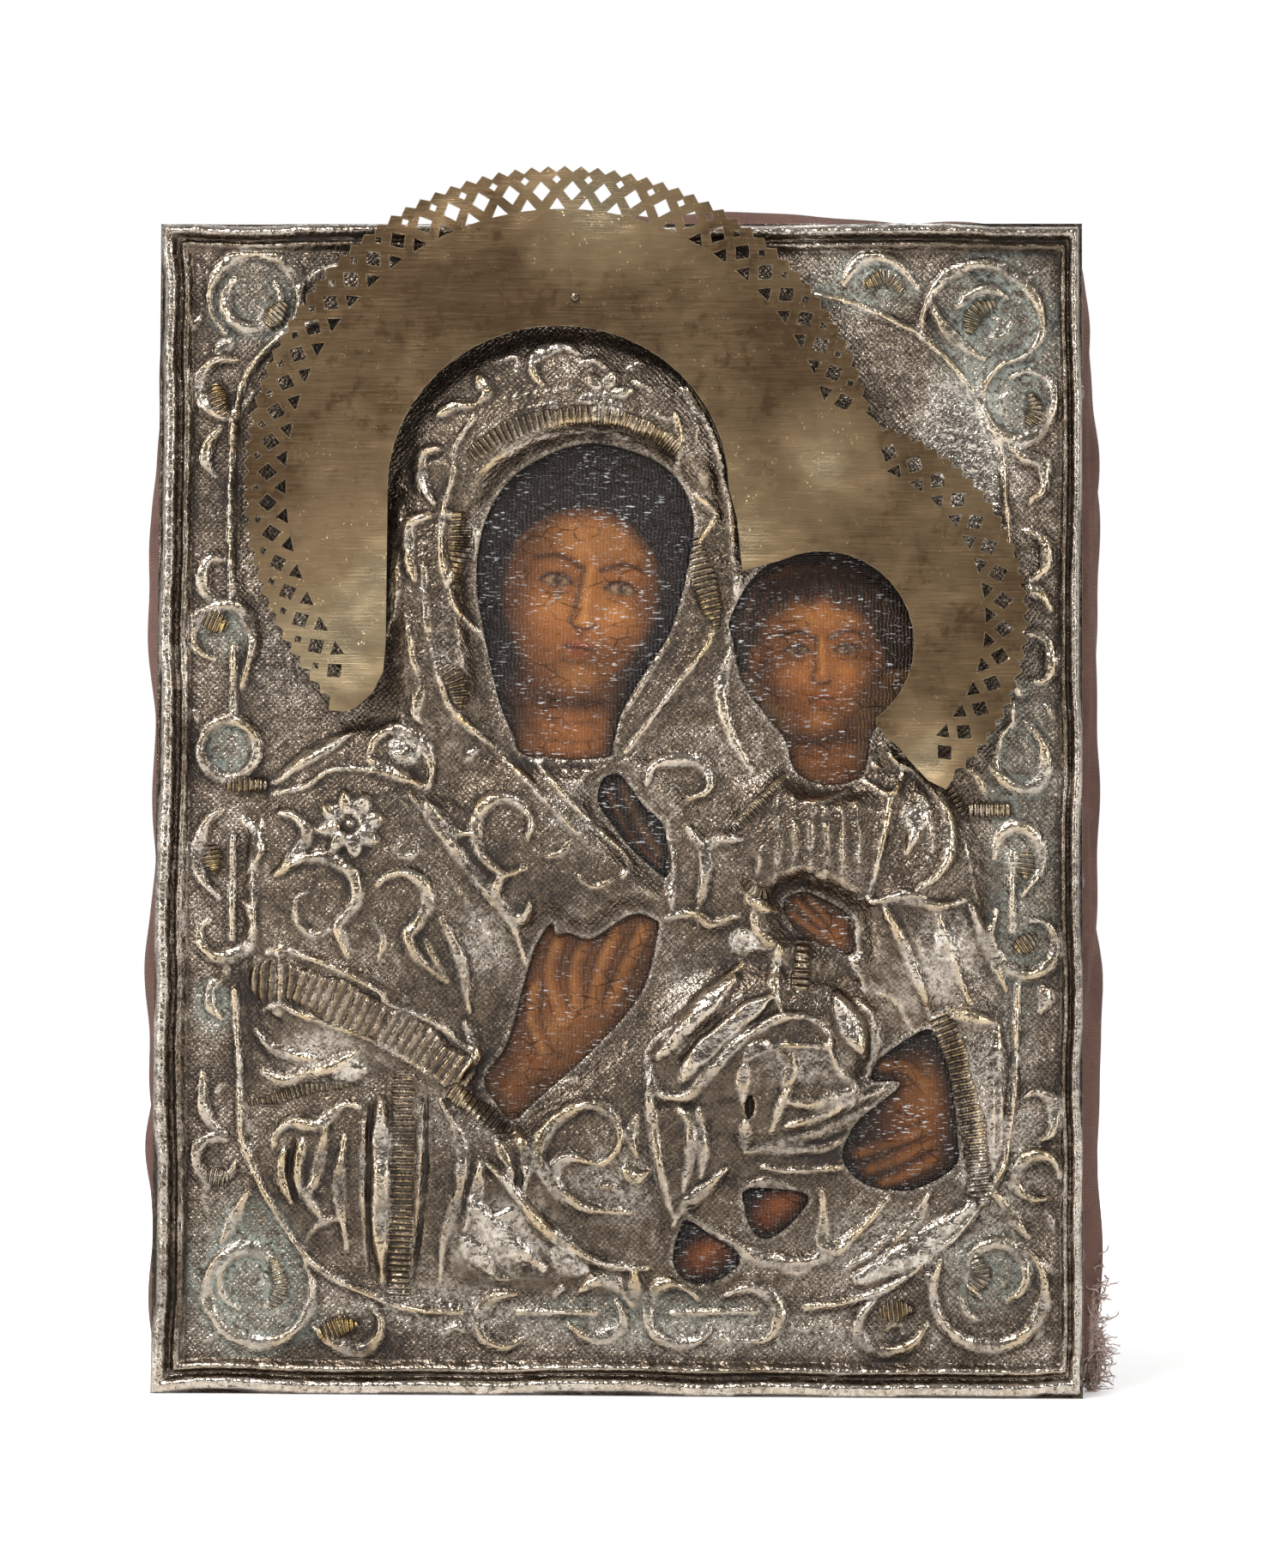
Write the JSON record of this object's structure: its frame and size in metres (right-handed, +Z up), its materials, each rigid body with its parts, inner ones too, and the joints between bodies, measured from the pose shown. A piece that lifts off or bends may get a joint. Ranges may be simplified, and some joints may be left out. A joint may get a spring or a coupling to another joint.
{
  "type": "oklad icon cover",
  "caption": "Devotional panel picture under a raised silver-plated metal cover with windows, a pierced brass halo plate standing in front, a cloth-wrapped back and a hanging ring.",
  "frame": {"origin": "middle of the underside of the cover sheet's folded bottom edge, in the plane of the wooden panel's front face", "axes": "+Z up, picture faces -Y, back faces +Y, +X to the viewer's right"},
  "size_m": [0.1888, 0.0369, 0.2385],
  "materials": {
    "silvered_sheet": "tarnished silver plate, bright on the raised work and dark in the hollows",
    "brass_sheet": "aged brushed brass",
    "iron": "dark wrought iron",
    "plank_wood": "planed lime wood, unfinished",
    "batten_wood": "planed oak, unfinished",
    "paint_layer": "varnished tempera over canvas",
    "cotton": "faded brown cotton"
  },
  "bodies": {
    "panel": {"board_left_plank": "plank_wood", "board_right_plank": "plank_wood", "lower_batten": "batten_wood", "upper_batten": "batten_wood", "painted_ground": "paint_layer", "cover_sheet": "silvered_sheet", "halo_plate": "brass_sheet", "halo_tab_1": "brass_sheet", "halo_tab_2": "brass_sheet", "halo_tab_3": "brass_sheet", "halo_tab_4": "brass_sheet", "halo_pin": "silvered_sheet", "left_nail_1": "iron", "left_nail_2": "iron", "left_nail_3": "iron", "right_nail_1": "iron", "right_nail_2": "iron", "right_nail_3": "iron", "top_nail_left": "iron", "top_nail_right": "iron", "bottom_brad_left": "iron", "bottom_brad_right": "iron", "back_cloth": "cotton", "hanger_plate": "iron", "hanger_nail_left": "iron", "hanger_nail_right": "iron"},
    "ring": {"hanging_ring": "iron"}
  },
  "joints": [
    {"name": "ring_swing", "type": "hinge", "parent": "panel", "child": "ring", "pos_m": [0, 0.025, 0.205], "axis": [1, 0, 0], "range_deg": [-10, 190]}
  ]
}
